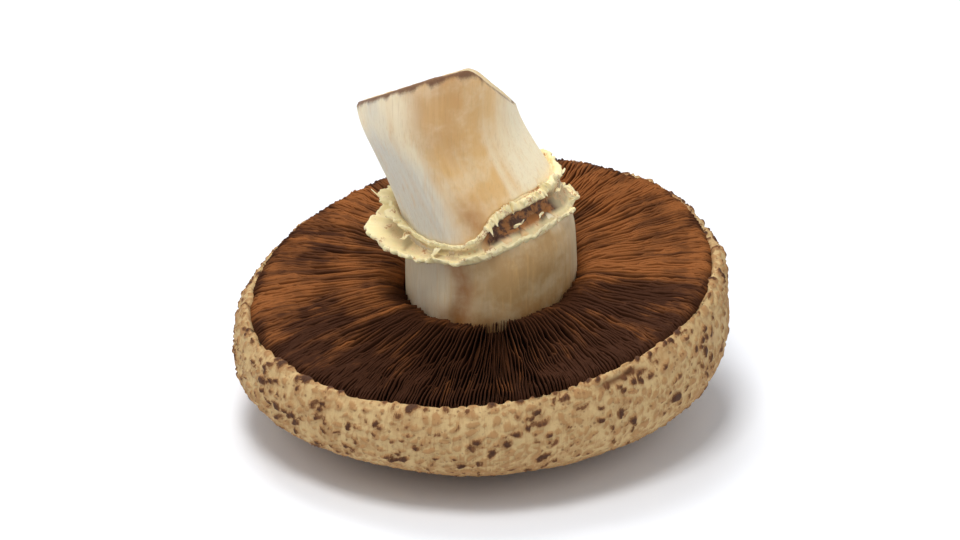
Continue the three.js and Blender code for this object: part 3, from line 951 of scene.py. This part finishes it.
def veil_section(lower, upper, groove_out):
    """The veil's section at each angle, as offset, height and nearness to a lip's edge.
    It runs from inside the stem along the lower lip's underside to its edge, back to the groove
    between the lips, out along the upper lip, over its edge and back in: a closed smooth curve."""
    (low_out, low_up), (high_out, high_up) = lower, upper
    foot = low_up - 0.3 * low_out - 1.0 * MM
    head = high_up - 0.3 * high_out
    groove = 0.45 * foot + 0.55 * head
    thick = 0.5 * MM + 0.09 * low_out
    knots = [
        (-1.6 * MM, foot - 0.2 * MM, 0),
        (0.1 * MM, foot - 0.1 * MM, 0),
        (0.45 * low_out, foot + 0.35 * (low_up - foot) - 0.15 * MM, 0.4),
        (0.85 * low_out, low_up - thick, 0.9),
        (low_out, low_up - 0.3 * thick, 1),
        (0.96 * low_out, low_up + 0.4 * thick, 1),
        (0.78 * low_out, low_up - 0.02 * MM, 0.8),
        (0.4 * low_out, foot + 0.6 * (low_up - foot) + 0.4 * MM, 0.3),
        (0.1 * MM + groove_out, groove - 0.5 * MM, 0),
        (groove_out, groove, 0),
        (0.1 * MM + groove_out, groove + 0.5 * MM, 0),
        (0.5 * high_out, 0.35 * groove + 0.65 * high_up - 0.3 * MM, 0.4),
        (0.88 * high_out, high_up - 0.5 * MM, 0.9),
        (high_out, high_up - 0.1 * MM, 1),
        (0.92 * high_out, high_up + 0.3 * MM, 1),
        (0.55 * high_out, high_up + 0.15 * MM, 0.6),
        (0.15 * MM, head, 0.1),
        (-1.6 * MM, head - 0.2 * MM, 0),
    ]
    knots = np.stack([joined(*knot) * np.ones_like(foot)[..., None] for knot in knots])
    return rounded_loop(knots, KNOT_STEPS)


def rounded_loop(knots, steps):
    """A smooth closed curve through knots along the first axis: a cubic between each two, whose slope at
    a knot is half the step between the knot's neighbours."""
    before, after, next_after = (np.roll(knots, shift, 0) for shift in (1, -1, -2))
    slopes = 0.5 * (after - before), 0.5 * (next_after - knots)
    rows = [cubic(t, knots, after, *slopes) for t in np.arange(steps) / steps]
    return np.stack(rows, 1).reshape(-1, *knots.shape[1:])


def make_veil_ring(shape, tint):
    """The veil's collar: a closed band with two torn, crinkled lips and a groove between them, and
    some loose tatters."""
    angle = full_turn(960)
    lower, upper = veil_lips(angle)
    tear = window(angle, TEAR_AT, 26, 38)
    offset, level, lip = np.moveaxis(veil_section(lower, upper, 0.1 * MM - 2.5 * MM * tear), -1, 0)
    lip = np.clip(lip, 0, 1)
    low_half = (np.arange(len(offset)) < GROOVE_KNOT * KNOT_STEPS)[:, None]

    def ragged(low_times, low_seed, high_times, high_seed, octaves=2):
        """Noise round the ring for the lower and the upper half of the section."""
        low = rough_noise(around(angle, low_times), octaves, low_seed)
        high = rough_noise(around(angle, high_times), octaves, high_seed)
        return np.where(low_half, low, high)

    torn = 0.42 * ragged(6, 311, 7, 321) + 0.16 * ragged(22, 313, 25, 323, octaves=1)
    torn -= 0.6 * ease(0.25, 0.5, ragged(8, 315, 9, 325))
    crinkle = ragged(19, 351, 23, 361)
    crumple = rough_noise(around(angle, 30, level / (0.7 * MM)), 2, seed=371)
    crumple *= 0.35 * MM * (0.4 + 0.6 * lip)
    reach = offset + crumple + lip * (torn * np.clip(offset, 0, 2.6 * MM) + 0.3 * MM * crinkle)
    frill = (0.7 * MM + 0.16 * offset) * ragged(7, 331, 8, 341)
    rise = level + lip * (frill + 0.35 * MM * crinkle)
    shreds = ease(-0.1, 0.7, rough_noise(around(angle, 17), 2, 391))
    shreds += 0.5 * ease(0, 0.8, rough_noise(around(angle, 41), 2, 393))
    rise -= np.where(low_half, 0, 2.4 * MM * tear * lip**2 * shreds)
    ring = beside_stem(shape, angle, reach, rise + shape.veil_lift)

    # Painted shade, partly spores: the groove between the lips darkens, most at the tear, and so does the
    # underside of the lower lip.
    inner = 1 - ease(0.1, 0.55, lip)
    over_lower = ease(0.1 * MM, 1.2 * MM, level - lower[1])
    under_upper = ease(0.2 * MM, 1.0 * MM, upper[1] - level)
    spores_and_shade = 0.45 + 0.75 * tear + 0.25 * rough_noise(around(angle, 6), 2, 381)
    underside = (level < lower[1]) & (offset > 0)
    dark = np.clip(inner * (over_lower * under_upper * spores_and_shade + 0.4 * underside), 0, 1)

    tatters, tatter_faces, tatter_ends = veil_tatters(shape, ring[..., 0].size)
    vertices = np.vstack([settle(shape, part).reshape(-1, 3) for part in (ring, tatters)])
    values = {"dark": np.append(dark, np.zeros(tatters[..., 0].size))}
    faces = [ring_quads(*ring.shape[:2], closed=True), tatter_faces, tatter_ends]
    return add_piece("mushroom_veil_ring", vertices, faces, values, veil_film(tint), "veil_ring")


# Each loose tatter's bearing in degrees and height in millimetres, and how far it reaches out and up in
# millimetres and round in degrees.
TATTERS = np.array([
    [352, 22.6, 2.6, 2.2, -4],
    [2, 21.0, 3.0, 1.0, 6],
    [344, 20.4, 2.4, 1.8, 3],
    [8, 17.6, 2.8, -0.8, -5],
    [322, 19.4, 1.8, 1.0, -7],
    [298, 19.2, 1.6, 1.6, 6],
    [208, 15.4, 4.4, 1.4, 7],
    [176, 16.8, 6.2, 3.4, -5],
    [238, 15.2, 2.2, -1.2, -5],
    [78, 17.0, 3.0, -1.4, 7],
    [128, 16.2, 3.2, 1.4, -6],
])


def veil_tatters(shape, first_vertex):
    """Thin strips that start on the stem and curl away: their points, sides and ends.
    Each is an ellipse swept along a bent line, and narrows towards its tip."""
    turn, level, out, up, drift = (column[:, None, None] for column in TATTERS.T)
    along = np.linspace(0, 1, 14)[None, :, None]
    section = full_turn(10)
    crooked = noise(joined(turn, 3 * along, 0 * section), seed=401)
    width = 0.9 * MM * (1 - 0.8 * along**2) * (1 + 0.35 * crooked)
    thick = 0.2 * MM * (1 - 0.5 * along)
    angle = np.radians(turn + drift * along**1.5) + width * np.cos(section) / (20 * MM)
    curl = np.sin(1.5 * math.pi * along) * 0.5
    reach = (-0.4 + (out + 0.4) * along + curl * 0.4) * MM
    height = (level + up * along**2 + curl * 0.6 + 0.4 * crooked) * MM + thick * np.sin(section)
    points = beside_stem(shape, angle, reach - 0.3 * width * np.cos(section) * along, height)
    return points, *strip_faces(*points.shape[:3], first_vertex)


def veil_film(tint):
    """Cream film, speckled, and brown with spores and painted shade in its groove and under its lower lip."""
    kit = MaterialKit(
        "Veil film", 0.62, Subsurface_Weight=0.15, Subsurface_Scale=0.002, Subsurface_Radius=(1.0, 0.7, 0.4)
    )
    patches = kit.clouds(3.0 * MM, 4, 0.65)
    grain = kit.clouds(0.45 * MM, 3, 0.6)
    film = kit.layer(tint.veil, tint.stem_cream, patches, 0.45, 0.7, 0, 0.5)
    film = kit.layer(film, tint.stem_tan, grain, 0.6, 0.75, 0, 0.35)
    crumbs = kit.times(kit.between(patches, 0.56, 0.62), kit.between(grain, 0.45, 0.55))
    film = kit.mix(kit.times(crumbs, 0.75), film, tint.stem_rust)
    # Spore brown that also paints the shade in the groove and under the lower lip.
    spores_and_shade_colour = kit.layer(tint.spores, tint.stem_rust, patches, 0.4, 0.58)
    film = kit.mix(kit.value("dark"), film, spores_and_shade_colour)
    kit.relief(patches, 0.3 * MM, 0.5)
    kit.relief(grain, 0.06 * MM, 0.6)
    return kit.paint(film)


# ---- stage


def place_facing(thing, target, azimuth, elevation, distance):
    """Places a camera or a light at a distance from a target, facing it. Azimuth is in degrees from the
    front towards +X, and elevation in degrees over the table."""
    turn, climb = math.radians(azimuth), math.radians(elevation)
    back = Vector((math.sin(turn) * math.cos(climb), -math.cos(turn) * math.cos(climb), math.sin(climb)))
    holder = new_object(thing.name, thing)
    holder.location = Vector(target) + back * distance
    holder.rotation_mode = "QUATERNION"
    holder.rotation_quaternion = (-back).to_track_quat("-Z", "Y")
    return holder


def make_camera(elevation, distance, lens):
    """A long-lens camera in front of the mushroom, looking down at the middle of its frame box."""
    camera = bpy.data.cameras.new("camera")
    camera.lens = lens
    bpy.context.scene.camera = place_facing(camera, (0, 0, 0.385 * CAD_HIGH.z), 0, elevation, distance)


def make_light(name, azimuth, elevation, size, power, tint=(1, 1, 1)):
    """A square soft light that faces the mushroom from 0.9 m away."""
    lamp = bpy.data.lights.new(name, "AREA")
    lamp.shape = "SQUARE"
    lamp.size = size
    lamp.energy = power
    lamp.color = tint
    place_facing(lamp, (0, 0, 0), azimuth, elevation, 0.9)


def make_floor():
    """A pale floor 12 m wide, level with the bottom of the cap."""
    mesh = bpy.data.meshes.new("floor")
    mesh.from_pydata([(-6, -6, 0), (6, -6, 0), (6, 6, 0), (-6, 6, 0)], [], [(0, 1, 2, 3)])
    floor = new_object("floor", mesh)
    kit = MaterialKit("Pale floor", 0.55)
    mesh.materials.append(kit.paint((0.90, 0.92, 0.96)))


def make_stage():
    """The camera, the floor, the lights and the pale surroundings."""
    make_camera(elevation=25, distance=1.1, lens=187)
    make_floor()
    make_light("soft_key", -25, 74, 0.3, 4.0, (1, 0.985, 0.96))
    make_light("soft_back", 195, 62, 0.35, 3.2)
    make_light("soft_left", -75, 38, 0.6, 1.0, (1, 0.98, 0.95))
    make_light("soft_right", 60, 35, 0.6, 1.1, (1, 0.99, 0.96))
    world = bpy.data.worlds.new("pale")
    world.use_nodes = True
    sky = world.node_tree.nodes["Background"].inputs
    sky["Color"].default_value = (0.90, 0.94, 1, 1)
    sky["Strength"].default_value = 0.45
    bpy.context.scene.world = world
    bpy.context.scene.view_settings.view_transform = "Standard"


# ---- add-on


class MushroomStep:
    """Shared by the operators: each makes one piece and can be undone."""

    bl_options = {"REGISTER", "UNDO"}
    make = None

    def execute(self, context):
        scene = context.scene
        type(self).make(scene.mushroom_shape, scene.mushroom_colours)
        return {"FINISHED"}


class MUSHROOM_OT_stage(bpy.types.Operator):
    """Set up the floor, the lights and the camera"""

    bl_idname = "mushroom.stage"
    bl_label = "Stage"

    def execute(self, context):
        make_stage()
        return {"FINISHED"}


class MUSHROOM_OT_cap(MushroomStep, bpy.types.Operator):
    """Grow the scaly cap"""

    bl_idname = "mushroom.cap"
    bl_label = "Cap"
    make = staticmethod(make_cap)


class MUSHROOM_OT_gills(MushroomStep, bpy.types.Operator):
    """Grow the gills"""

    bl_idname = "mushroom.gills"
    bl_label = "Gills"
    make = staticmethod(make_gills)


class MUSHROOM_OT_stem(MushroomStep, bpy.types.Operator):
    """Grow the stem and cut its end"""

    bl_idname = "mushroom.stem"
    bl_label = "Stem"
    make = staticmethod(make_stem)


class MUSHROOM_OT_veil_ring(MushroomStep, bpy.types.Operator):
    """Grow the torn veil round the stem"""

    bl_idname = "mushroom.veil_ring"
    bl_label = "Veil ring"
    make = staticmethod(make_veil_ring)


OPERATORS = (
    MUSHROOM_OT_stage, MUSHROOM_OT_cap, MUSHROOM_OT_gills, MUSHROOM_OT_stem, MUSHROOM_OT_veil_ring,
)


class MUSHROOM_PT_sidebar(bpy.types.Panel):
    """Lists the mushroom's pieces and sizes"""

    bl_idname = "MUSHROOM_PT_sidebar"
    bl_label = "Mushroom"
    bl_space_type = "VIEW_3D"
    bl_region_type = "UI"
    bl_category = "Mushroom"

    def draw(self, context):
        for operator in OPERATORS:
            self.layout.operator(operator.bl_idname)
        for settings in (context.scene.mushroom_shape, context.scene.mushroom_colours):
            for key in settings.__annotations__:
                self.layout.prop(settings, key)


CLASSES = (MushroomShape, MushroomColours, *OPERATORS, MUSHROOM_PT_sidebar)


def register():
    for cls in CLASSES:
        bpy.utils.register_class(cls)
    bpy.types.Scene.mushroom_shape = PointerProperty(type=MushroomShape)
    bpy.types.Scene.mushroom_colours = PointerProperty(type=MushroomColours)


def unregister():
    del bpy.types.Scene.mushroom_colours
    del bpy.types.Scene.mushroom_shape
    for cls in reversed(CLASSES):
        bpy.utils.unregister_class(cls)


def main():
    register()
    for step in ("stage", "cap", "gills", "stem", "veil_ring"):
        getattr(bpy.ops.mushroom, step)()


if __name__ == "__main__":
    main()
